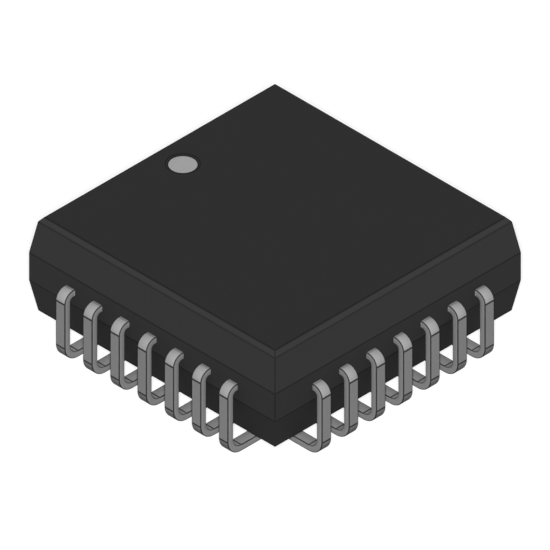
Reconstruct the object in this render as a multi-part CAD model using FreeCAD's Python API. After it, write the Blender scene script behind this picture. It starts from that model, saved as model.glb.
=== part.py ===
import FreeCAD, Part

import math
import os

from FreeCAD import Vector

# A plastic chip carrier with 28 J-shaped leads. Lengths are in millimetres and angles in degrees.
# The origin is the middle of the footprint on the seating plane, and +Z is up.
# Lead 1 is in the middle of the +Y side, and the others follow counter-clockwise seen from above.

# Moulded body
body_width = 11.51  # across the upright band
standoff = 0.876  # from the seating plane to the underside
lower_slope_height = 1.235
upper_slope_height = 1.245
lower_draft = 10.0
upper_draft = 9.5
chamfer_height = 0.188
chamfer_width = 0.159
band_below_frame = 0.424  # upright band under the leadframe
band_above_frame = 0.442

# Lead rows
lead_count = 28
lead_pitch = 1.27
lead_width = 0.43
frame_thickness = 0.25  # the sheet that leads and paddle are stamped from
leg_gap = 0.22  # between the band and the upright legs
toe_corner_clearance = 0.325  # between a toe and the line of the end leads in the next row
shoulder_bend = 0.15  # inside radii of the three bends of a lead
heel_bend = 0.37
toe_bend = 0.15
toe_entry = 0.20  # how far the toe stands up into the body

# Pockets in the underside, round the toes
toe_side_clearance = 0.12
toe_end_clearance = 0.15

# Lead fingers inside the body
tip_pitch = 0.76
tip_width = 0.32
tip_length = 0.50  # the straight end that the wire is bonded to
paddle_gap = 0.40  # from the paddle's edge to the fingers' ends

# Die paddle and its tie bars
paddle_width = 5.0
paddle_downset = 0.20  # below the lead fingers
tie_bar_width = 0.30
tie_bar_root = 0.30  # level stretch between the paddle's corner and the ramp
tie_bar_overlap = 0.20  # how far a bar runs into the paddle's corner
tie_bar_cover = 0.20  # moulding left outside the end of a bar

# Silicon die and its adhesive
die_width = 3.80
die_thickness = 0.38
glue_thickness = 0.025
glue_margin = 0.06  # adhesive that shows round the die

# Bond wires, drawn with flat sides
wire_diameter = 0.03
wire_sides = 4
pad_pitch = 0.50
pad_inset = 0.12  # from the die's edge to the middle of a pad
loop_rise = 0.20
stitch_inset = 0.20  # from a finger's end to the foot of its wire

# Mark at lead 1, an inked dish in the top
dish_diameter = 1.15  # at the level of the top
dish_depth = 0.05
dish_slope = 33.0  # of its conical wall, above the level
dish_inset = 1.08  # from the edge of the flat top to the middle of the dish
ink_thickness = 0.015

side_names = ["back", "left", "front", "right"]  # counter-clockwise from the side of lead 1
side_turn = 360 / len(side_names)
leads_a_side = lead_count // len(side_names)
middle_index = leads_a_side // 2

# Heights and half widths worked out from the sizes above
band_bottom = standoff + lower_slope_height
frame_bottom = band_bottom + band_below_frame
frame_top = frame_bottom + frame_thickness
band_top = frame_top + band_above_frame
chamfer_bottom = band_top + upper_slope_height
body_top = chamfer_bottom + chamfer_height
half_band = body_width / 2
half_underside = half_band - lower_slope_height * math.tan(math.radians(lower_draft))
half_chamfer = half_band - upper_slope_height * math.tan(math.radians(upper_draft))
half_top = half_chamfer - chamfer_width
lead_span = body_width + 2 * (leg_gap + frame_thickness)
half_span = lead_span / 2
half_row = lead_pitch * (leads_a_side - 1) / 2
toe_reach = half_row + lead_width / 2 + toe_corner_clearance
half_paddle = paddle_width / 2
half_die = die_width / 2
finger_end = half_paddle + paddle_gap
paddle_bottom = frame_bottom - paddle_downset
paddle_top = paddle_bottom + frame_thickness
die_bottom = paddle_top + glue_thickness
die_top = die_bottom + die_thickness
toe_top = standoff + toe_entry

up = Vector(0, 0, 1)
middle = Vector(0, 0, 0)


def row_offset(index):
    # How many pitches a lead lies from the middle of its row.
    return index - (leads_a_side - 1) / 2


def turned(shape, side):
    # A piece drawn on the +Y side, carried round to another side.
    copy = shape.copy()
    copy.rotate(middle, up, side_turn * side)
    return copy


def plate(points, bottom, thickness):
    corners = [Vector(x, y, bottom) for x, y in points]
    outline = Part.makePolygon(corners + corners[:1])
    return Part.Face(outline).extrude(up * thickness)


def square_plate(width, bottom, thickness):
    half = width / 2
    return plate([(-half, -half), (half, -half), (half, half), (-half, half)], bottom, thickness)


def rounded_outline(corners):
    # A closed outline in the YZ plane. Each corner is (y, z, radius), and a radius of 0 leaves it sharp.
    points = [Vector(0, y, z) for y, z, radius in corners]
    edges = []
    starts = []
    ends = []
    for index, corner in enumerate(points):
        back = (points[index - 1] - corner).normalize()
        ahead = (points[(index + 1) % len(points)] - corner).normalize()
        radius = corners[index][2]
        half_angle = back.getAngle(ahead) / 2
        cut = radius / math.tan(half_angle)
        starts.append(corner + back * cut)
        ends.append(corner + ahead * cut)
        if radius > 0:
            inward = (back + ahead).normalize()
            arc_middle = corner + inward * (radius / math.sin(half_angle) - radius)
            edges.append(Part.Arc(starts[-1], arc_middle, ends[-1]).toShape())
    for index, end in enumerate(ends):
        edges.append(Part.makeLine(end, starts[(index + 1) % len(starts)]))
    return Part.Wire(Part.__sortEdges__(edges))


def finger(offset):
    # The flat part of a lead inside the body, which tapers and fans in towards the die.
    root = -offset * lead_pitch
    tip = -offset * tip_pitch
    knee = finger_end + tip_length
    outline = [
        (root + lead_width / 2, half_band),
        (tip + tip_width / 2, knee),
        (tip + tip_width / 2, finger_end),
        (tip - tip_width / 2, finger_end),
        (tip - tip_width / 2, knee),
        (root - lead_width / 2, half_band),
    ]
    return plate(outline, frame_bottom, frame_thickness)


def formed_leg(offset):
    # The part of a lead outside the body: shoulder, upright leg, flat foot and curled-up toe.
    leg_inside = half_span - frame_thickness
    toe_inside = toe_reach + frame_thickness
    outline = rounded_outline([
        (half_band, frame_top, 0),
        (half_span, frame_top, shoulder_bend + frame_thickness),
        (half_span, 0, heel_bend + frame_thickness),
        (toe_reach, 0, toe_bend + frame_thickness),
        (toe_reach, toe_top, 0),
        (toe_inside, toe_top, 0),
        (toe_inside, frame_thickness, toe_bend),
        (leg_inside, frame_thickness, heel_bend),
        (leg_inside, frame_bottom, shoulder_bend),
        (half_band, frame_bottom, 0),
    ])
    leg = Part.Face(outline).extrude(Vector(lead_width, 0, 0))
    leg.translate(Vector(-offset * lead_pitch - lead_width / 2, 0, 0))
    return leg


def lead(offset):
    return finger(offset).fuse(formed_leg(offset)).removeSplitter()


def toe_pocket(offset):
    half_width = lead_width / 2 + toe_side_clearance
    inner = toe_reach - toe_end_clearance
    outer = toe_reach + frame_thickness + toe_end_clearance
    centre = -offset * lead_pitch
    points = [
        (centre - half_width, inner),
        (centre + half_width, inner),
        (centre + half_width, outer),
        (centre - half_width, outer),
    ]
    return plate(points, standoff, toe_entry + toe_end_clearance)


def tie_bar():
    # One bar along the diagonal, stepped up from the paddle to the level of the fingers.
    corner = half_paddle * math.sqrt(2)
    ramp_start = corner + tie_bar_root
    ramp_end = ramp_start + paddle_downset
    end = (half_band - tie_bar_cover) * math.sqrt(2) - tie_bar_width / 2
    outline = rounded_outline([
        (corner - tie_bar_overlap, paddle_bottom, 0),
        (ramp_start, paddle_bottom, 0),
        (ramp_end, frame_bottom, 0),
        (end, frame_bottom, 0),
        (end, frame_top, 0),
        (ramp_end, frame_top, 0),
        (ramp_start, paddle_top, 0),
        (corner - tie_bar_overlap, paddle_top, 0),
    ])
    bar = Part.Face(outline).extrude(Vector(tie_bar_width, 0, 0))
    bar.translate(Vector(-tie_bar_width / 2, 0, 0))
    bar.rotate(middle, up, side_turn / 2)
    return bar


def die_paddle():
    bars = [turned(tie_bar(), side) for side in range(len(side_names))]
    return square_plate(paddle_width, paddle_bottom, frame_thickness).fuse(bars).removeSplitter()


def mitred_bar(path):
    # A closed mitred bar along a path in the XZ plane, whose last end lies flat on a level surface.
    directions = [(after - before).normalize() for before, after in zip(path, path[1:])]
    normals = [Vector(-direction.z, 0, direction.x) for direction in directions]
    mitres = [normals[0]]
    for before, after in zip(normals, normals[1:]):
        mitres.append((before + after) / (1 + before.dot(after)))
    mitres.append(normals[-1] - directions[-1] * (normals[-1].z / directions[-1].z))
    turns = [2 * math.pi * side / wire_sides for side in range(wire_sides)]
    radius = wire_diameter / 2
    section = [(radius * math.cos(turn), radius * math.sin(turn)) for turn in turns]
    rings = []
    for point, mitre in zip(path, mitres):
        ring = [point + Vector(0, across, 0) + mitre * along for across, along in section]
        rings.append(ring + ring[:1])
    faces = [Part.Face(Part.makePolygon(ring)) for ring in (rings[0], rings[-1])]
    for low, high in zip(rings, rings[1:]):
        for side in range(wire_sides):
            corners = [low[side], low[side + 1], high[side + 1], high[side]]
            faces.append(Part.Face(Part.makePolygon(corners + corners[:1])))
    return Part.Solid(Part.Shell(faces))


def bond_wire(offset):
    # Straight up from the die's pad, then down over the die's edge to the lead's finger.
    pad = Vector(-offset * pad_pitch, half_die - pad_inset, 0)
    foot = Vector(-offset * tip_pitch, finger_end + stitch_inset, 0)
    span = foot - pad
    path = [
        Vector(0, 0, die_top),
        Vector(0, 0, die_top + loop_rise),
        Vector(span.Length, 0, frame_top),
    ]
    wire = mitred_bar(path)
    wire.rotate(middle, up, math.degrees(math.atan2(span.y, span.x)))
    wire.translate(pad)
    return wire


def body_form():
    # The drafted outer form is what two equal profiles, one along each axis, have in common.
    right = [
        (half_underside, standoff),
        (half_band, band_bottom),
        (half_band, band_top),
        (half_chamfer, chamfer_bottom),
        (half_top, body_top),
    ]
    left = [(-y, z) for y, z in reversed(right)]
    profile = rounded_outline([(y, z, 0) for y, z in right + left])
    along_x = Part.Face(profile).extrude(Vector(body_width, 0, 0))
    along_x.translate(Vector(-half_band, 0, 0))
    return along_x.common(turned(along_x, 1))


def dish(height):
    # What fills the dish in the top up to a height above its floor.
    wall_run = 1 / math.tan(math.radians(dish_slope))
    floor_radius = dish_diameter / 2 - dish_depth * wall_run
    centre = Vector(0, half_top - dish_inset, body_top - dish_depth)
    return Part.makeCone(floor_radius, floor_radius + height * wall_run, height, centre)


def mold_body(inner_pieces):
    recesses = [dish(dish_depth)]
    for side in range(len(side_names)):
        for index in range(leads_a_side):
            recesses.append(turned(toe_pocket(row_offset(index)), side))
    return body_form().cut(recesses + inner_pieces)


def build():
    pieces = {
        "die_paddle": die_paddle(),
        "die_attach": square_plate(die_width + 2 * glue_margin, paddle_top, glue_thickness),
        "silicon_die": square_plate(die_width, die_bottom, die_thickness),
    }
    for side, name in enumerate(side_names):
        wires = []
        for index in range(leads_a_side):
            number = (side * leads_a_side + index - middle_index) % lead_count + 1
            pieces[f"lead_{number:02d}"] = turned(lead(row_offset(index)), side)
            wires.append(turned(bond_wire(row_offset(index)), side))
        pieces["bond_wires_" + name] = Part.makeCompound(wires)
    embedded = []
    for piece in pieces.values():
        embedded.extend(piece.Solids)
    pieces["mold_body"] = mold_body(embedded)
    pieces["pin_1_dot"] = dish(ink_thickness)
    return pieces


os.makedirs("parts", exist_ok=True)
for node, shape in build().items():
    shape.exportStep("parts/" + node + ".step")
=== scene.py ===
import math
import bmesh
import bpy
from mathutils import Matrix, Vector


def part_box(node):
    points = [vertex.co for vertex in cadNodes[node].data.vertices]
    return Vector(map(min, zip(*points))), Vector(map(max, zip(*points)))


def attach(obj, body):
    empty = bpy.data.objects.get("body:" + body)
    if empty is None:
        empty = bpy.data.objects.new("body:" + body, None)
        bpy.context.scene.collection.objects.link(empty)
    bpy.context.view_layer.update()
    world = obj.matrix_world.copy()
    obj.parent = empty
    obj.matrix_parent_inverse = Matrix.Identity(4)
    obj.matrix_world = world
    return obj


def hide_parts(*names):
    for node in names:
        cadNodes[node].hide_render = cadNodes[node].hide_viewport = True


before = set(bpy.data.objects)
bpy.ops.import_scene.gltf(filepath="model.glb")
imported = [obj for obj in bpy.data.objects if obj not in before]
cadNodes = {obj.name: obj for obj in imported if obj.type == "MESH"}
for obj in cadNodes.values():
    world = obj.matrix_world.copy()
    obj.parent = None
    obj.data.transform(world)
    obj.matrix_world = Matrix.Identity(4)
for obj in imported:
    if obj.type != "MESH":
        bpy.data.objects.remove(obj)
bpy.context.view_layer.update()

mm = 0.001  # the scene is in metres
print("frame loaded:", len(cadNodes), "nodes")


# camera, at the photograph's isometric angle
viewSettings = {
    "azimuth": -45.0,  # 0 looks along +Y
    "elevation": 35.264,
    "aim": (0.0, 0.0, 2.308 * mm),
    "distance": 100 * mm,
    "imageWidth": 18.18 * mm,
    "clipStart": 1 * mm,
    "clipEnd": 1000 * mm,
}


def towards(azimuth, elevation):
    # the way from the object to a camera or lamp at that angle, in degrees
    turn = math.radians(azimuth)
    rise = math.radians(elevation)
    return Vector((math.sin(turn) * math.cos(rise), -math.cos(turn) * math.cos(rise), math.sin(rise)))


def addCamera(settings):
    data = bpy.data.cameras.new("camera")
    data.type = "ORTHO"
    data.ortho_scale = settings["imageWidth"]
    data.clip_start = settings["clipStart"]
    data.clip_end = settings["clipEnd"]
    camera = bpy.data.objects.new("camera", data)
    bpy.context.scene.collection.objects.link(camera)
    away = towards(settings["azimuth"], settings["elevation"])
    camera.location = Vector(settings["aim"]) + away * settings["distance"]
    camera.rotation_euler = away.to_track_quat("Z", "Y").to_euler()
    bpy.context.scene.camera = camera


addCamera(viewSettings)
bpy.context.scene.view_settings.view_transform = "Standard"
print("camera set")


# node trees, for shaders and for geometry
class Socket:
    # one output socket, and arithmetic on it adds the Math nodes
    def __init__(self, tree, output=None):
        self.tree = tree
        self.output = output

    def node(self, kind, settings=None, sockets=None, output=0):
        # any node: its settings first, then the values or links of its sockets
        added = self.tree.nodes.new(kind)
        for name, value in (settings or {}).items():
            setattr(added, name, value)
        for name, value in (sockets or {}).items():
            if isinstance(value, Socket):
                self.tree.links.new(value.output, added.inputs[name])
            else:
                added.inputs[name].default_value = value
        return Socket(self.tree, added.outputs[output])

    def other(self, name):
        # another output of the same node
        return Socket(self.tree, self.output.node.outputs[name])

    def math(self, operation, *values):
        sockets = dict(enumerate((self,) + values))
        return self.node("ShaderNodeMath", {"operation": operation}, sockets)

    def __add__(self, value):
        return self.math("ADD", value)

    def __radd__(self, value):
        return self.math("ADD", value)

    def __sub__(self, value):
        return self.math("SUBTRACT", value)

    def __rsub__(self, value):
        return self.math("MULTIPLY_ADD", -1.0, value)

    def __mul__(self, value):
        return self.math("MULTIPLY", value)

    def __truediv__(self, value):
        return self.math("DIVIDE", value)

    def __abs__(self):
        return self.math("ABSOLUTE")

    def lesser(self, value):
        return self.math("MINIMUM", value)

    def greater(self, value):
        return self.math("MAXIMUM", value)

    def ramp(self, start, end, low=0.0, high=1.0, kind="SMOOTHSTEP"):
        # from low at start to high at end
        sockets = {"Value": self, "From Min": start, "From Max": end, "To Min": low, "To Max": high}
        return self.node("ShaderNodeMapRange", {"interpolation_type": kind}, sockets)

    def mixColor(self, first, second):
        # self is the factor, and 6, 7 and output 2 are the node's colours
        return self.node("ShaderNodeMix", {"data_type": "RGBA"}, {0: self, 6: first, 7: second}, 2)

    def scaleVector(self, amount):
        return self.node("ShaderNodeVectorMath", {"operation": "SCALE"}, {0: self, "Scale": amount})

    def addVector(self, value):
        return self.node("ShaderNodeVectorMath", {"operation": "ADD"}, {0: self, 1: value})

    def parts(self):
        split = self.node("ShaderNodeSeparateXYZ", sockets={"Vector": self})
        return split, split.other("Y"), split.other("Z")

    def joined(self, x, y, z):
        return self.node("ShaderNodeCombineXYZ", sockets={"X": x, "Y": y, "Z": z})

    def noise(self, scale, detail=3.0, roughness=0.6):
        # self is the place
        sockets = {"Vector": self, "Scale": scale, "Detail": detail, "Roughness": roughness}
        return self.node("ShaderNodeTexNoise", sockets=sockets)


# shaders
def grey(level):
    return (level, level, level, 1.0)


def newMaterial(name):
    # an empty material, its surface shader and a place to start expressions
    material = bpy.data.materials.new(name)
    material.use_nodes = True
    tree = material.node_tree
    return material, tree.nodes["Principled BSDF"], Socket(tree)


def plug(surface, name, value):
    # links a changing value to the surface shader, or sets a plain one on its socket
    if isinstance(value, Socket):
        value.tree.links.new(value.output, surface.inputs[name])
    else:
        surface.inputs[name].default_value = value


def objectPlace(start):
    # object coordinates in millimetres
    return start.node("ShaderNodeTexCoord").other("Object").scaleVector(1 / mm)


def stored(start, name, output="Fac"):
    # a value that the geometry keeps under that name
    return start.node("ShaderNodeAttribute", {"attribute_name": name}).other(output)


def bumped(height, settings):
    sockets = {
        "Height": height,
        "Distance": settings["bumpHeight"] * mm,
        "Strength": settings["bumpStrength"],
    }
    return height.node("ShaderNodeBump", sockets=sockets)


def between(value, low, high, soft=0.004):
    # 1 from low to high and 0 outside, all in millimetres
    return value.ramp(low - soft, low + soft) * value.ramp(high - soft, high + soft, 1.0, 0.0)


def thinLine(distance, settings, share=1.0):
    # 1 on a line, fading to 0 beside it
    low = settings["lineHalfWidth"] * share
    return distance.ramp(low, low + settings["lineSoftness"] * share, 1.0, 0.0)


# geometry
def geometryTree(name, inputs):
    # an empty tree with these named inputs, and a place to start expressions
    tree = bpy.data.node_groups.new(name, "GeometryNodeTree")
    tree.interface.new_socket(name="Geometry", in_out="OUTPUT", socket_type="NodeSocketGeometry")
    for label, (kind, value) in inputs.items():
        tree.interface.new_socket(name=label, in_out="INPUT", socket_type=kind)
    entry = tree.nodes.new("NodeGroupInput")
    return Socket(tree), {label: Socket(tree, entry.outputs[label]) for label in inputs}


def finishTree(start, shape, material):
    # the last nodes of every tree
    real = start.node("GeometryNodeRealizeInstances", sockets={"Geometry": shape})
    dressed = start.node("GeometryNodeSetMaterial", sockets={"Geometry": real, "Material": material})
    result = start.tree.nodes.new("NodeGroupOutput")
    start.tree.links.new(dressed.output, result.inputs["Geometry"])


def chosen(index, items, kind):
    # the item with that index
    tree = index.tree
    switch = tree.nodes.new("GeometryNodeIndexSwitch")
    switch.data_type = kind
    while len(switch.index_switch_items) < len(items):
        switch.index_switch_items.new()
    tree.links.new(index.output, switch.inputs["Index"])
    for number, item in enumerate(items):
        if isinstance(item, Socket):
            tree.links.new(item.output, switch.inputs[str(number)])
        else:
            switch.inputs[str(number)].default_value = item
    return Socket(tree, switch.outputs[0])


def attribute(start, name):
    return start.node("GeometryNodeInputNamedAttribute", {"data_type": "FLOAT"}, {"Name": name})


def keep(shape, name, value, domain="POINT", kind="FLOAT"):
    # keeps a value on the geometry under that name, for later nodes or the material
    settings = {"data_type": kind, "domain": domain}
    sockets = {"Geometry": shape, "Name": name, "Value": value}
    return shape.node("GeometryNodeStoreNamedAttribute", settings, sockets)


def numberedCopies(start, shape, count, name, number, rotation=(0.0, 0.0, 0.0)):
    # real copies in one place, each turned by the rotation and with its number kept under the name
    points = start.node("GeometryNodeMeshLine", sockets={"Count": count, "Offset": (0.0, 0.0, 0.0)})
    sockets = {"Points": points, "Instance": shape, "Rotation": rotation}
    copies = start.node("GeometryNodeInstanceOnPoints", sockets=sockets)
    copies = keep(copies, name, number, "INSTANCE")
    return start.node("GeometryNodeRealizeInstances", sockets={"Geometry": copies})


def rowCopies(start, shape, count):
    # a copy for each lead of a row, numbered from its middle
    place = start.node("GeometryNodeInputIndex") - (count - 1) / 2
    return numberedCopies(start, shape, count, "rowPlace", place)


def allSides(start, row, sides):
    # the row on +Y, carried round to the other sides
    index = start.node("GeometryNodeInputIndex")
    turn = start.joined(0.0, 0.0, index * math.tau / sides)
    return numberedCopies(start, row, sides, "sideNumber", index, turn)


def newObject(name, mesh=None):
    thing = bpy.data.objects.new(name, mesh or bpy.data.meshes.new(name))
    bpy.context.scene.collection.objects.link(thing)
    return thing


def plainMesh(holder):
    # the evaluated object as a plain mesh, with no modifier left
    graph = bpy.context.evaluated_depsgraph_get()
    evaluated = holder.evaluated_get(graph)
    mesh = bpy.data.meshes.new_from_object(evaluated, preserve_all_data_layers=True, depsgraph=graph)
    holder.modifiers.clear()
    holder.data = mesh
    mesh.name = holder.name
    return holder


def grown(name, start, inputs):
    # what the tree makes with these input values
    holder = newObject(name)
    modifier = holder.modifiers.new("grow", "NODES")
    modifier.node_group = start.tree
    for item in start.tree.interface.items_tree:
        if item.in_out == "INPUT":
            modifier[item.identifier] = inputs[item.name][1]
    return plainMesh(holder)


def evenNormals(holder):
    # large faces keep their own direction, so that only the rounded edges shade as round
    weighted = holder.modifiers.new("normals", "WEIGHTED_NORMAL")
    weighted.mode = "FACE_AREA_WITH_ANGLE"
    weighted.keep_sharp = True
    return plainMesh(holder)


def addWall(shape, low, high):
    # faces between two rings of as many corners
    for index in range(len(low)):
        after = (index + 1) % len(low)
        shape.faces.new([low[index], low[after], high[after], high[index]])


def formed(name, shape, material):
    # a finished closed shape as an object
    bmesh.ops.recalc_face_normals(shape, faces=shape.faces)
    thing = newObject(name)
    shape.to_mesh(thing.data)
    shape.free()
    thing.data.materials.append(material)
    return thing


def smoothed(thing, sharpAngle):
    thing.data.shade_smooth()
    thing.data.set_sharp_from_angle(angle=sharpAngle)


# the 28 leads, one formed strip each
stripSizes = {
    "shoulderBend": 0.15 * mm,  # inside radii
    "heelBend": 0.37 * mm,
    "toeBend": 0.15 * mm,
    "bendSteps": 12,
    "edgeRadius": 0.018 * mm,  # where the sheet was sheared
    "edgeSteps": 2,
    "sharpEdge": 0.9,  # radians
    "tipWidth": 0.32 * mm,
    "tipLength": 0.50 * mm,
    "sides": 4,
    "toneSeed": 11,
}
moldLow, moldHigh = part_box("mold_body")
leadsASide = sum(name.startswith("lead_") for name in cadNodes) // stripSizes["sides"]


def measureLeads():
    # sizes of the leads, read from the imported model: the middle one on +Y and the one beside it
    low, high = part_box("lead_01")
    nextLow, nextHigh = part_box("lead_02")
    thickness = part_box("die_attach")[0].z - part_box("die_paddle")[0].z
    points = [vertex.co for vertex in cadNodes["lead_01"].data.vertices]
    toeFace = min(point.y for point in points if point.z < moldLow.z - thickness / 2)
    underSheet = high.z - 2 * thickness
    toe = [point for point in points if point.y < toeFace + thickness / 2 and point.z < underSheet]
    return {
        "width": high.x - low.x,
        "thickness": thickness,
        "pitch": low.x - nextLow.x,
        "tipPitch": stripSizes["tipWidth"] / 2 - nextHigh.x,
        "fingerEnd": low.y,
        "legFace": high.y,
        "sheetTop": high.z,
        "toeFace": toeFace,
        "toeEnd": max(point.z for point in toe),
        "root": moldHigh.y,
    }


def inMillimetres(sizes):
    return {name: round(size / mm, 3) for name, size in sizes.items()}


leadSizes = measureLeads()
print("leads measured, in mm:", inMillimetres(leadSizes))


def stripMarks():
    # where the bends start and end along the middle of a strip, in mm from the finger's end
    half = leadSizes["thickness"] / 2
    shoulder = stripSizes["shoulderBend"] + half
    heel = stripSizes["heelBend"] + half
    toe = stripSizes["toeBend"] + half
    legMiddle = leadSizes["legFace"] - half
    runs = [
        ("shoulderStart", legMiddle - shoulder - leadSizes["fingerEnd"]),
        ("shoulderEnd", shoulder * math.pi / 2),
        ("heelStart", leadSizes["sheetTop"] - half - shoulder - half - heel),
        ("heelEnd", heel * math.pi / 2),
        ("toeStart", legMiddle - heel - leadSizes["toeFace"] - half - toe),
        ("toeEnd", toe * math.pi / 2),
        ("cut", leadSizes["toeEnd"] - half - toe),
    ]
    marks = {}
    length = 0.0
    for name, run in runs:
        length += run
        marks[name] = length / mm
    return marks


marks = stripMarks()


def filleted(curve, steps, radius):
    sockets = {"Curve": curve, "Count": steps, "Radius": radius}
    return curve.node("GeometryNodeFilletCurve", {"mode": "POLY"}, sockets)


def stripLine(start, size):
    # the middle of one strip, from the finger's end to the toe's, which keeps its length
    half = size["Thickness"] / 2
    sheetMiddle = size["Sheet Top"] - half
    legMiddle = size["Leg Face"] - half
    toeMiddle = size["Toe Face"] + half
    bends = [
        (size["Finger End"], sheetMiddle, 0.0),
        (size["Finger End"] + size["Tip Length"], sheetMiddle, 0.0),
        (size["Root"], sheetMiddle, 0.0),
        (legMiddle, sheetMiddle, size["Shoulder Bend"] + half),
        (legMiddle, half, size["Heel Bend"] + half),
        (toeMiddle, half, size["Toe Bend"] + half),
        (toeMiddle, size["Toe End"], 0.0),
    ]
    index = start.node("GeometryNodeInputIndex")
    places = chosen(index, [start.joined(0.0, y, z) for y, z, radius in bends], "VECTOR")
    radii = chosen(index, [radius for y, z, radius in bends], "FLOAT")
    line = start.node("GeometryNodeCurvePrimitiveLine")
    line = start.node("GeometryNodeResampleCurve", sockets={"Curve": line, "Count": len(bends)})
    line = start.node("GeometryNodeSetPosition", sockets={"Geometry": line, "Position": places})
    line = filleted(line, size["Bend Steps"], radii)
    return keep(line, "stripLength", start.node("GeometryNodeSplineParameter").other("Length"))


def stripSection(start, size):
    # the sheet cut across, whose corners keep their place in it
    sockets = {"Width": size["Lead Width"], "Height": size["Thickness"]}
    section = start.node("GeometryNodeCurvePrimitiveQuadrilateral", sockets=sockets)
    section = filleted(section, size["Edge Steps"], size["Edge Radius"])
    return keep(section, "sectionPlace", start.node("GeometryNodeInputPosition"), kind="FLOAT_VECTOR")


def fannedIn(start, row, size):
    # inside the moulding the strips taper and draw together towards the die
    x = start.node("GeometryNodeInputPosition").parts()[0]
    length = attribute(start, "stripLength")
    place = attribute(start, "rowPlace")
    root = size["Root"] - size["Finger End"]
    share = size["Tip Width"] / size["Lead Width"]
    pitch = length.ramp(size["Tip Length"], root, size["Tip Pitch"], size["Pitch"], "LINEAR")
    taper = length.ramp(size["Tip Length"], root, share, 1.0, "LINEAR")
    shift = start.joined(x * taper + place * pitch - x, 0.0, 0.0)
    return start.node("GeometryNodeSetPosition", sockets={"Geometry": row, "Offset": shift})


def leadTree(inputs):
    start, size = geometryTree("formed leads", inputs)
    line = stripLine(start, size)
    section = stripSection(start, size)
    sockets = {"Curve": line, "Profile Curve": section, "Fill Caps": True}
    strip = start.node("GeometryNodeCurveToMesh", sockets=sockets)
    row = fannedIn(start, rowCopies(start, strip, size["Leads a Side"]), size)
    leads = allSides(start, row, size["Sides"])
    number = attribute(start, "rowPlace") + attribute(start, "sideNumber") * size["Leads a Side"]
    # 2 and 3 are the ends of the random range
    sockets = {"ID": number.math("ROUND"), "Seed": size["Seed"], 2: -1.0, 3: 1.0}
    tone = start.node("FunctionNodeRandomValue", {"data_type": "FLOAT"}, sockets, 1)
    leads = keep(leads, "leadTone", tone)
    folded = start.node("GeometryNodeInputMeshEdgeAngle").math("GREATER_THAN", size["Sharp Edge"])
    sockets = {"Geometry": leads, "Selection": folded, "Shade Smooth": False}
    leads = start.node("GeometryNodeSetShadeSmooth", {"domain": "EDGE"}, sockets)
    finishTree(start, leads, size["Material"])
    return start


tinPlate = {
    "color": 0.20,
    "blueShare": 1.01,  # of the other two colours
    "metallic": 0.08,
    "specular": 0.02,
    "roughness": 0.5,
    "lineDepth": 0.85,  # how much of the colour a painted shade line, along an edge or at the end of a bend, takes away
    "lineRoughness": 0.15,  # how much rougher it is there
    "lineHalfWidth": 0.024,  # mm
    "lineSoftness": 0.016,
    "innerEdgeFade": 0.7,  # share of the line lost on a side's inner edge, down to the heel
    "innerEdgeFrom": 0.02,  # mm from the middle of the sheet
    "shoulderHighlight": 0.5,  # share that the outside of the bend is painted lighter, a painted highlight
    "shoulderFade": 0.03,  # mm at each end of the bend
    "heelShade": 0.6,  # share that the outside of the heel bend is painted darker, a painted shade
    "heelFade": 0.22,  # mm at each end of the bend
    "shearedSideLight": 0.12,  # share that the sheared sides are painted lighter, painted light against their shade between the leads
    "innerFaceLight": 0.25,  # share that the face that was inside the bends is painted lighter, painted light against its shade under the body
    "faceDepth": (0.004, 0.012),  # mm in from a wide face, where the sheared side starts
    "zoneFade": 0.05,  # mm
    "cutColor": (0.32, 0.20, 0.13, 1.0),
    "cutFade": 0.004,  # mm before the toe's end
    "strokesAcross": 26.0,  # rolling strokes a mm
    "strokesAlong": 1.6,
    "strokeChange": 0.16,  # of the colour
    "strokeRoughness": 0.14,
    "strokeShift": 9.0,  # so that no two leads are alike
    "grains": 30.0,  # a mm
    "grainChange": 0.12,
    "grainShift": 5.0,
    "leadChange": 0.03,  # of the colour, from lead to lead
    "bumpStrokes": 0.6,
    "bumpGrains": 0.4,
    "bumpHeight": 0.002,  # mm
    "bumpStrength": 0.35,
}


def stripZones(length, across, through, settings):
    # masks that follow the strip: its painted shade lines, the faces and bends painted lighter or
    # darker as painted light and shade, and the cut end
    toEdge = leadSizes["width"] / 2 / mm - abs(across)
    toFace = leadSizes["thickness"] / 2 / mm - abs(through)
    fade = settings["zoneFade"]
    wideFace = toFace.ramp(*settings["faceDepth"], 1.0, 0.0)
    outer = wideFace * through.ramp(fade, -fade)
    edgeLine = thinLine(toEdge.greater(toFace), settings)
    overHeel = length.ramp(marks["heelEnd"] - fade, marks["heelEnd"] + fade, 1.0, 0.0)
    innerEdge = (1.0 - wideFace) * through.ramp(0.0, settings["innerEdgeFrom"]) * overHeel
    edgeLine = edgeLine * (1.0 - innerEdge * settings["innerEdgeFade"])
    bendLine = thinLine(abs(length - marks["shoulderEnd"]), settings)
    for name in ("heelStart", "heelEnd"):
        bendLine = bendLine.greater(thinLine(abs(length - marks[name]), settings))
    bendMiddle = (marks["shoulderStart"] + marks["shoulderEnd"]) / 2
    halfBend = (marks["shoulderEnd"] - marks["shoulderStart"]) / 2
    onShoulder = abs(length - bendMiddle).ramp(halfBend - settings["shoulderFade"], halfBend, 1.0, 0.0)
    heelFade = settings["heelFade"]
    intoHeel = length.ramp(marks["heelStart"], marks["heelStart"] + heelFade, kind="LINEAR")
    outOfHeel = length.ramp(marks["heelEnd"] - heelFade, marks["heelEnd"], 1.0, 0.0)
    return {
        "line": edgeLine.greater(bendLine * wideFace),
        "shoulder": onShoulder * outer,
        "heel": intoHeel * outOfHeel * outer,
        "inner": wideFace * through.ramp(-fade, fade),
        "sheared": 1.0 - wideFace,
        "cut": length.ramp(marks["cut"] - settings["cutFade"], marks["cut"] - settings["cutFade"] / 4),
    }


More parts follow.
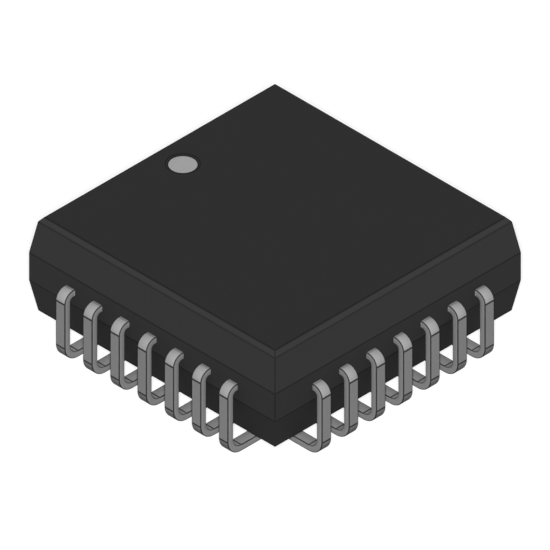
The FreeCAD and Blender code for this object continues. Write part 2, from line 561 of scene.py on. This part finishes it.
def tinPlateMaterial(settings):
    material, surface, start = newMaterial("tinPlate")
    length = stored(start, "stripLength") / mm
    tone = stored(start, "leadTone")
    across, through = stored(start, "sectionPlace", "Vector").scaleVector(1 / mm).parts()[:2]
    zones = stripZones(length, across, through, settings)
    fine, coarse, grain = settings["strokesAcross"], settings["strokesAlong"], settings["grains"]
    shift = tone * settings["strokeShift"]
    strokes = start.joined(across * fine, length * coarse, through * fine + shift).noise(1.0)
    shift = tone * settings["grainShift"]
    place = start.joined(across * grain, length * grain, through * grain + shift)
    grains = place.noise(1.0, detail=2.0, roughness=0.5)
    level = 1.0 + (strokes - 0.5) * settings["strokeChange"] + (grains - 0.5) * settings["grainChange"]
    level = level + tone * settings["leadChange"]
    # painted highlight on the outside of the shoulder bend, painted light on the sheared sides and the
    # inner face against their shade, and painted shade on the outside of the heel bend
    gain = zones["shoulder"] * settings["shoulderHighlight"]
    gain = gain + zones["inner"] * settings["innerFaceLight"] + zones["sheared"] * settings["shearedSideLight"]
    level = level * (1.0 + gain) * (1.0 - zones["heel"] * settings["heelShade"]) * settings["color"]
    plate = start.joined(level, level, level * settings["blueShare"])
    # painted shade lines along the sheared edges and across the wide faces at the ends of the bends
    plate = plate.scaleVector(1.0 - zones["line"] * settings["lineDepth"])
    plug(surface, "Base Color", zones["cut"].mixColor(plate, settings["cutColor"]))
    plug(surface, "Metallic", settings["metallic"])
    plug(surface, "Specular IOR Level", settings["specular"])
    roughness = settings["roughness"] + (strokes - 0.5) * settings["strokeRoughness"]
    plug(surface, "Roughness", roughness + zones["line"] * settings["lineRoughness"])
    height = strokes * settings["bumpStrokes"] + grains * settings["bumpGrains"]
    plug(surface, "Normal", bumped(height, settings))
    return material


def makeLeads():
    inputs = {
        "Leads a Side": ("NodeSocketInt", leadsASide),
        "Sides": ("NodeSocketInt", stripSizes["sides"]),
        "Lead Width": ("NodeSocketFloat", leadSizes["width"]),
        "Thickness": ("NodeSocketFloat", leadSizes["thickness"]),
        "Pitch": ("NodeSocketFloat", leadSizes["pitch"]),
        "Root": ("NodeSocketFloat", leadSizes["root"]),
        "Leg Face": ("NodeSocketFloat", leadSizes["legFace"]),
        "Sheet Top": ("NodeSocketFloat", leadSizes["sheetTop"]),
        "Toe Face": ("NodeSocketFloat", leadSizes["toeFace"]),
        "Toe End": ("NodeSocketFloat", leadSizes["toeEnd"]),
        "Finger End": ("NodeSocketFloat", leadSizes["fingerEnd"]),
        "Tip Length": ("NodeSocketFloat", stripSizes["tipLength"]),
        "Tip Width": ("NodeSocketFloat", stripSizes["tipWidth"]),
        "Tip Pitch": ("NodeSocketFloat", leadSizes["tipPitch"]),
        "Shoulder Bend": ("NodeSocketFloat", stripSizes["shoulderBend"]),
        "Heel Bend": ("NodeSocketFloat", stripSizes["heelBend"]),
        "Toe Bend": ("NodeSocketFloat", stripSizes["toeBend"]),
        "Bend Steps": ("NodeSocketInt", stripSizes["bendSteps"]),
        "Edge Radius": ("NodeSocketFloat", stripSizes["edgeRadius"]),
        "Edge Steps": ("NodeSocketInt", stripSizes["edgeSteps"]),
        "Sharp Edge": ("NodeSocketFloat", stripSizes["sharpEdge"]),
        "Seed": ("NodeSocketInt", stripSizes["toneSeed"]),
        "Material": ("NodeSocketMaterial", tinPlateMaterial(tinPlate)),
    }
    leads = evenNormals(grown("formedLeads", leadTree(inputs), inputs))
    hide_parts(*[name for name in cadNodes if name.startswith("lead_")])
    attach(leads, "root")
    return leads


formedLeads = makeLeads()
print("leads formed:", len(formedLeads.data.polygons), "faces")


# the moulded body, with its toe pockets and the dish at lead 1
shellSizes = {
    "edgeRadius": 0.02 * mm,  # outer edges
    "rimRadius": 0.018 * mm,  # rims of the pockets and the dish
    "edgeSteps": 3,
    "foldedEdge": math.radians(5),
    "rimEdge": math.radians(60),
    "pocketSideGap": 0.12 * mm,  # beside a toe
    "pocketEndGap": 0.15 * mm,  # in front of, behind and over a toe
    "dishSides": 96,
    "cornersFrom": 0.8,  # of the half width, outside which the corners of the form lie
    "tolerance": 0.001 * mm,
}
dotLow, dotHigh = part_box("pin_1_dot")
dotMiddle = (dotLow + dotHigh) / 2
moldPoints = [vertex.co for vertex in cadNodes["mold_body"].data.vertices]


def moldCorners():
    # height and half width of each ring of corners, from the underside up, in mm
    found = set()
    for point in moldPoints:
        x, y = abs(point.x), abs(point.y)
        if abs(x - y) < shellSizes["tolerance"] and x > shellSizes["cornersFrom"] * moldHigh.x:
            found.add((round(point.z / mm, 4), round(x / mm, 4)))
    return sorted(found)


def measureDish():
    # radii of the dish: at the top, of its floor, and where the ink ends on its wall
    radii = {"ink": (dotHigh.x - dotLow.x) / 2}
    for name, height in (("rim", moldHigh.z), ("floor", dotLow.z)):
        level = [point for point in moldPoints if abs(point.z - height) < shellSizes["tolerance"]]
        radii[name] = min(math.hypot(point.x - dotMiddle.x, point.y - dotMiddle.y) for point in level)
    return radii


corners = moldCorners()
dishSizes = measureDish()
print("corner rings of the moulding, in mm:", corners)
print("radii of the dish, in mm:", inMillimetres(dishSizes))


def pocketTree(inputs):
    # a block for each toe, which is cut out of the underside
    start, size = geometryTree("toe pockets", inputs)
    block = start.node("GeometryNodeMeshCube", sockets={"Size": size["Pocket Size"]})
    row = rowCopies(start, block, size["Leads a Side"])
    along = start.joined(attribute(start, "rowPlace") * size["Pitch"], 0.0, 0.0)
    sockets = {"Geometry": row, "Offset": along.addVector(size["Pocket Middle"])}
    row = start.node("GeometryNodeSetPosition", sockets=sockets)
    finishTree(start, allSides(start, row, size["Sides"]), size["Material"])
    return start


def makePocketCutter(material):
    width = leadSizes["width"] + 2 * shellSizes["pocketSideGap"]
    length = leadSizes["thickness"] + 2 * shellSizes["pocketEndGap"]
    depth = leadSizes["toeEnd"] + shellSizes["pocketEndGap"]
    middle = leadSizes["toeFace"] + leadSizes["thickness"] / 2
    inputs = {
        "Leads a Side": ("NodeSocketInt", leadsASide),
        "Sides": ("NodeSocketInt", stripSizes["sides"]),
        "Pitch": ("NodeSocketFloat", leadSizes["pitch"]),
        "Pocket Size": ("NodeSocketVector", (width, length, depth)),
        "Pocket Middle": ("NodeSocketVector", (0.0, middle, depth / 2)),
        "Material": ("NodeSocketMaterial", material),
    }
    return grown("pocketCutter", pocketTree(inputs), inputs)


def makeDishCutter(material):
    # the cone of the dish, carried on to as far over the top as it goes below
    low, high = dishSizes["floor"], 2 * dishSizes["rim"] - dishSizes["floor"]
    depth = 2 * (moldHigh.z - dotLow.z)
    sides = shellSizes["dishSides"]
    shape = bmesh.new()
    bmesh.ops.create_cone(shape, cap_ends=True, segments=sides, radius1=low, radius2=high, depth=depth)
    bmesh.ops.translate(shape, vec=(0.0, dotMiddle.y, moldHigh.z), verts=shape.verts)
    return formed("dishCutter", shape, material)


def makeShellForm(material):
    # four corners at each height, from the underside up
    shape = bmesh.new()
    rings = []
    for height, half in corners:
        places = [(half, half), (-half, half), (-half, -half), (half, -half)]
        rings.append([shape.verts.new((x * mm, y * mm, height * mm)) for x, y in places])
    for low, high in zip(rings, rings[1:]):
        addWall(shape, low, high)
    shape.faces.new(reversed(rings[0]))
    shape.faces.new(rings[-1])
    return formed("moldedBody", shape, material)


def addBevel(thing, width, angle):
    bevel = thing.modifiers.new("edges", "BEVEL")
    bevel.width = width
    bevel.segments = shellSizes["edgeSteps"]
    bevel.limit_method = "ANGLE"
    bevel.angle_limit = angle
    bevel.use_clamp_overlap = True


moldCompound = {
    "color": 0.0212,  # of the top
    "paintedFaceLight": [0.97, 1.24, 1.45, 1.56],  # painted light and shade: how much lighter or darker each other face is painted than the top, from the underside up
    "specular": 0.03,
    "roughness": 0.6,
    "lineHalfWidth": 0.02,  # mm
    "lineSoftness": 0.02,
    "topLine": 0.52,  # how much of the colour each painted shade line takes away
    "chamferLine": 0.34,
    "bandLine": 0.45,
    "cornerLine": 0.5,
    "cornerLineEnd": 0.01,  # mm from the top's line
    "footLine": 0.5,
    "footLineShare": 2.4,  # of the usual width
    "rimLine": 0.75,
    "rimLineShare": 0.7,
    "inkLine": 0.85,  # on the dish's wall, just over the ink, a painted shade ring
    "inkLineShare": 0.25,
    "topFade": 0.01,  # mm
    "grainSize": 0.045,  # mm, of the spark-eroded mould
    "grainChange": 0.22,  # of the colour
    "grainRoughness": 0.12,
    "flowSize": 2.2,  # mm, of the faint mottling left by the flowing compound
    "flowChange": 0.10,
    "flowRoughness": 0.08,
    "bumpHeight": 0.004,  # mm
    "bumpStrength": 0.4,
}


def dotDistance(place):
    # distance in the plane from the middle of the dish, in mm
    x, y = place.parts()[:2]
    y = y - dotMiddle.y / mm
    return (x * x + y * y).math("SQRT")


def moldLines(place, fromDot, settings):
    # the painted shade lines along the edges of the form and round the dish
    x, y, z = place.parts()
    wide = abs(x).greater(abs(y))
    narrow = abs(x).lesser(abs(y))
    underside, bandLow, bandHigh, chamferLow, top = corners
    end = settings["cornerLineEnd"]
    overFoot = z.ramp(bandLow[0] - end, bandLow[0])
    underTop = z.ramp(top[0] - 2 * end, top[0] - end, 1.0, 0.0)
    lines = [
        thinLine(wide - narrow, settings) * overFoot * underTop * settings["cornerLine"],
        thinLine(top[0] - z + (top[1] - wide).greater(0.0), settings) * settings["topLine"],
    ]
    edges = [(chamferLow, "chamferLine"), (bandHigh, "bandLine"), (bandLow, "bandLine")]
    for (height, half), name in edges:
        lines.append(thinLine(abs(z - height), settings) * settings[name])
    toFoot = z - underside[0] + (underside[1] - wide).greater(0.0)
    lines.append(thinLine(toFoot, settings, settings["footLineShare"]) * settings["footLine"])
    for name in ("rim", "ink"):
        fromCircle = abs(fromDot - dishSizes[name] / mm)
        circle = thinLine(fromCircle, settings, settings[name + "LineShare"])
        lines.append(circle * settings[name + "Line"])
    line = lines[0]
    for added in lines[1:]:
        line = line.greater(added)
    return line


def moldCompoundMaterial(settings):
    material, surface, start = newMaterial("moldCompound")
    place = objectPlace(start)
    x, y, z = place.parts()
    fromDot = dotDistance(place)
    grain = place.noise(1 / settings["grainSize"])
    flow = place.noise(1 / settings["flowSize"], detail=4.0, roughness=0.55)
    level = 1.0 + (grain - 0.5) * settings["grainChange"] + (flow - 0.5) * settings["flowChange"]
    level = level * settings["color"]
    topHalf = corners[-1][1]
    outside = abs(x).greater(abs(y)).ramp(topHalf - settings["topFade"], topHalf)
    # each face is painted lighter or darker than the top as light would fall on it, painted light and
    # shade
    for low, high, shade in zip(corners, corners[1:], settings["paintedFaceLight"]):
        level = level * (1.0 + outside * between(z, low[0], high[0]) * (shade - 1.0))
    # the dish's wall between the ink and the rim gets the chamfer's painted light
    wall = between(fromDot, dishSizes["ink"] / mm, dishSizes["rim"] / mm)
    level = level * (1.0 + wall * (settings["paintedFaceLight"][-1] - 1.0))
    level = level * (1.0 - moldLines(place, fromDot, settings))
    plug(surface, "Base Color", start.joined(level, level, level))
    roughness = settings["roughness"] + (grain - 0.5) * settings["grainRoughness"]
    plug(surface, "Roughness", roughness + (flow - 0.5) * settings["flowRoughness"])
    plug(surface, "Specular IOR Level", settings["specular"])
    plug(surface, "Normal", bumped(grain, settings))
    return material


def makeMoldedBody():
    material = moldCompoundMaterial(moldCompound)
    shell = makeShellForm(material)
    addBevel(shell, shellSizes["edgeRadius"], shellSizes["foldedEdge"])
    cutters = [makePocketCutter(material), makeDishCutter(material)]
    for cutter in cutters:
        hollow = shell.modifiers.new("hollow", "BOOLEAN")
        hollow.operation = "DIFFERENCE"
        hollow.solver = "EXACT"
        hollow.object = cutter
    addBevel(shell, shellSizes["rimRadius"], shellSizes["rimEdge"])
    plainMesh(shell)
    for cutter in cutters:
        bpy.data.objects.remove(cutter)
    smoothed(shell, shellSizes["rimEdge"])
    evenNormals(shell)
    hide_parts("mold_body")
    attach(shell, "root")
    return shell


moldedBody = makeMoldedBody()
print("body moulded:", len(moldedBody.data.polygons), "faces")


# the ink in the dish, a thin dried pool with a rounded rim
inkPool = {
    # shares of the radius and of the thickness, from the wall over the rim and in
    "rings": [(1.0, 0.55), (0.99, 0.85), (0.96, 1.0), (0.90, 0.96), (0.70, 0.88)],
    "middleHeight": 0.86,  # share of the thickness
    "color": 0.33,
    "roughness": 0.7,
    "specular": 0.03,
    "rimWidth": 0.045,  # mm
    "rimSoftness": 0.012,
    "rimShade": 0.975,  # how much of the colour it loses there, a painted shade ring at the ink's edge
    "speckles": 26.0,  # a mm
    "speckleChange": 0.10,  # of the colour
    "speckleRoughness": 0.2,
    "clouds": 4.0,  # a mm
    "cloudChange": 0.08,
    "bumpHeight": 0.004,  # mm
    "bumpStrength": 0.3,
}


def inkMaterial(settings):
    material, surface, start = newMaterial("markInk")
    place = objectPlace(start)
    speckle = place.noise(settings["speckles"])
    cloud = place.noise(settings["clouds"], roughness=0.5)
    inner = dishSizes["ink"] / mm - settings["rimWidth"]
    rim = dotDistance(place).ramp(inner, inner + settings["rimSoftness"])
    level = 1.0 + (speckle - 0.5) * settings["speckleChange"] + (cloud - 0.5) * settings["cloudChange"]
    # a painted shade ring round the edge of the ink
    level = level * settings["color"] * (1.0 - rim * settings["rimShade"])
    plug(surface, "Base Color", start.joined(level, level, level))
    plug(surface, "Roughness", settings["roughness"] + (speckle - 0.5) * settings["speckleRoughness"])
    plug(surface, "Specular IOR Level", settings["specular"])
    plug(surface, "Normal", bumped(speckle, settings))
    return material


def makeInkDot():
    thickness = dotHigh.z - dotLow.z
    spread = dishSizes["ink"] - dishSizes["floor"]
    sides = shellSizes["dishSides"]
    shape = bmesh.new()
    rings = []
    for share, height in [(1.0, 0.0)] + inkPool["rings"]:
        # a share of the dish's own radius at that height
        radius = share * (dishSizes["floor"] + spread * height)
        ring = []
        for turn in (math.tau * index / sides for index in range(sides)):
            x = dotMiddle.x + radius * math.cos(turn)
            y = dotMiddle.y + radius * math.sin(turn)
            ring.append(shape.verts.new((x, y, dotLow.z + thickness * height)))
        rings.append(ring)
    for low, high in zip(rings, rings[1:]):
        addWall(shape, low, high)
    shape.faces.new(reversed(rings[0]))
    pole = shape.verts.new((dotMiddle.x, dotMiddle.y, dotLow.z + thickness * inkPool["middleHeight"]))
    for index in range(sides):
        shape.faces.new([rings[-1][index], rings[-1][(index + 1) % sides], pole])
    dot = formed("inkDot", shape, inkMaterial(inkPool))
    smoothed(dot, shellSizes["rimEdge"])
    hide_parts("pin_1_dot")
    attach(dot, "root")


makeInkDot()
print("dot inked")


# the sealed pieces, which keep their CAD shapes
sealedFinishes = {
    "silicon_die": {
        "color": (0.16, 0.17, 0.20),
        "metallic": 0.6,
        "roughness": 0.22,
        "mottleSize": 0.12,  # mm
        "mottleChange": 0.25,  # of the colour
        "bumpHeight": 0.001,  # mm
    },
    "die_attach": {
        "color": (0.55, 0.55, 0.56),
        "metallic": 0.5,
        "roughness": 0.5,
        "mottleSize": 0.05,
        "mottleChange": 0.25,
        "bumpHeight": 0.004,
    },
    "die_paddle": {
        "color": (0.72, 0.45, 0.30),
        "metallic": 1.0,
        "roughness": 0.35,
        "mottleSize": 0.08,
        "mottleChange": 0.15,
        "bumpHeight": 0.002,
    },
    "bond_wires": {
        "color": (0.90, 0.68, 0.25),
        "metallic": 1.0,
        "roughness": 0.25,
        "mottleSize": 0.02,
        "mottleChange": 0.08,
        "bumpHeight": 0.0005,
    },
}
sealedShared = {"mottleRoughness": 0.1, "bumpStrength": 0.3}


def sealedMaterial(name, settings):
    material, surface, start = newMaterial(name)
    mottle = objectPlace(start).noise(1 / settings["mottleSize"], roughness=0.55)
    shade = 1.0 + (mottle - 0.5) * settings["mottleChange"]
    plug(surface, "Base Color", start.joined(*settings["color"]).scaleVector(shade))
    plug(surface, "Metallic", settings["metallic"])
    plug(surface, "Roughness", settings["roughness"] + (mottle - 0.5) * settings["mottleRoughness"])
    plug(surface, "Normal", bumped(mottle, settings))
    return material


def dressSealedPieces():
    for family, finish in sealedFinishes.items():
        material = sealedMaterial(family, {**finish, **sealedShared})
        for name, node in cadNodes.items():
            if name.startswith(family):
                node.data.materials.clear()
                node.data.materials.append(material)


dressSealedPieces()
print("sealed pieces dressed")


# pale floor and soft light
lightSettings = {
    "keyStrength": 1.4,  # 1 lights a white surface that faces it to white
    "keyAngle": 5.0,  # degrees, how large the lamp looks
    "keyPlace": (-45.0, 35.264),  # azimuth and elevation
    "fillAngle": 40.0,
    # strength and place of each fill, from behind and from under the floor
    "fills": [(0.9, (135.0, 4.0)), (0.9, (135.0, -36.0))],
    "skyLevel": 0.12,  # on the object
    "floorGlow": 0.62,
    "floorColor": 0.45,
    "floorBounce": 0.12,  # grey that lights the object
    "floorHalf": 120 * mm,
    "floorDrop": 0.01 * mm,
}


def addSun(name, strength, angle, place, glossy=True):
    data = bpy.data.lights.new(name, "SUN")
    data.energy = strength * math.pi
    data.angle = math.radians(angle)
    lamp = bpy.data.objects.new(name, data)
    bpy.context.scene.collection.objects.link(lamp)
    lamp.visible_glossy = glossy
    lamp.rotation_euler = towards(*place).to_track_quat("Z", "Y").to_euler()


def seenRays(start):
    # 1 for what the camera, a gloss or a glass sees, and 0 for light on the object
    ray = start.node("ShaderNodeLightPath")
    return ray.greater(ray.other("Is Glossy Ray")).greater(ray.other("Is Transmission Ray"))


def setWorld(settings):
    world = bpy.data.worlds.new("studio")
    world.use_nodes = True
    bpy.context.scene.world = world
    backdrop = world.node_tree.nodes["Background"]
    plug(backdrop, "Color", grey(1.0))
    level = seenRays(Socket(world.node_tree)).ramp(0.0, 1.0, settings["skyLevel"], 1.0, "LINEAR")
    plug(backdrop, "Strength", level)


def floorMaterial(settings):
    # pale with the object's shadow where it is seen, a dim grey for light on the object,
    # and clear from below and for shadows, so that the lamp under it reaches the object
    material, surface, start = newMaterial("paleFloor")
    lit = start.node("ShaderNodeBsdfDiffuse", sockets={"Color": grey(settings["floorColor"])})
    sockets = {"Color": grey(1.0), "Strength": settings["floorGlow"]}
    glow = start.node("ShaderNodeEmission", sockets=sockets)
    seen = start.node("ShaderNodeAddShader", sockets={0: lit, 1: glow})
    bounce = start.node("ShaderNodeBsdfDiffuse", sockets={"Color": grey(settings["floorBounce"])})
    upper = start.node("ShaderNodeMixShader", sockets={0: seenRays(start), 1: bounce, 2: seen})
    below = start.node("ShaderNodeNewGeometry").other("Backfacing")
    shadow = start.node("ShaderNodeLightPath").other("Is Shadow Ray")
    clear = start.node("ShaderNodeBsdfTransparent")
    both = start.node("ShaderNodeMixShader", sockets={0: below.greater(shadow), 1: upper, 2: clear})
    plug(start.tree.nodes["Material Output"], "Surface", both)
    start.tree.nodes.remove(surface)
    return material


def addFloor(settings):
    half = settings["floorHalf"]
    mesh = bpy.data.meshes.new("floor")
    places = [(-half, -half), (half, -half), (half, half), (-half, half)]
    mesh.from_pydata([(x, y, -settings["floorDrop"]) for x, y in places], [], [(0, 1, 2, 3)])
    floor = newObject("floor", mesh)
    mesh.materials.append(floorMaterial(settings))


addSun("key", lightSettings["keyStrength"], lightSettings["keyAngle"], lightSettings["keyPlace"])
for number, (strength, place) in enumerate(lightSettings["fills"]):
    addSun(f"fill{number}", strength, lightSettings["fillAngle"], place, False)
setWorld(lightSettings)
addFloor(lightSettings)
print("floor and light set")
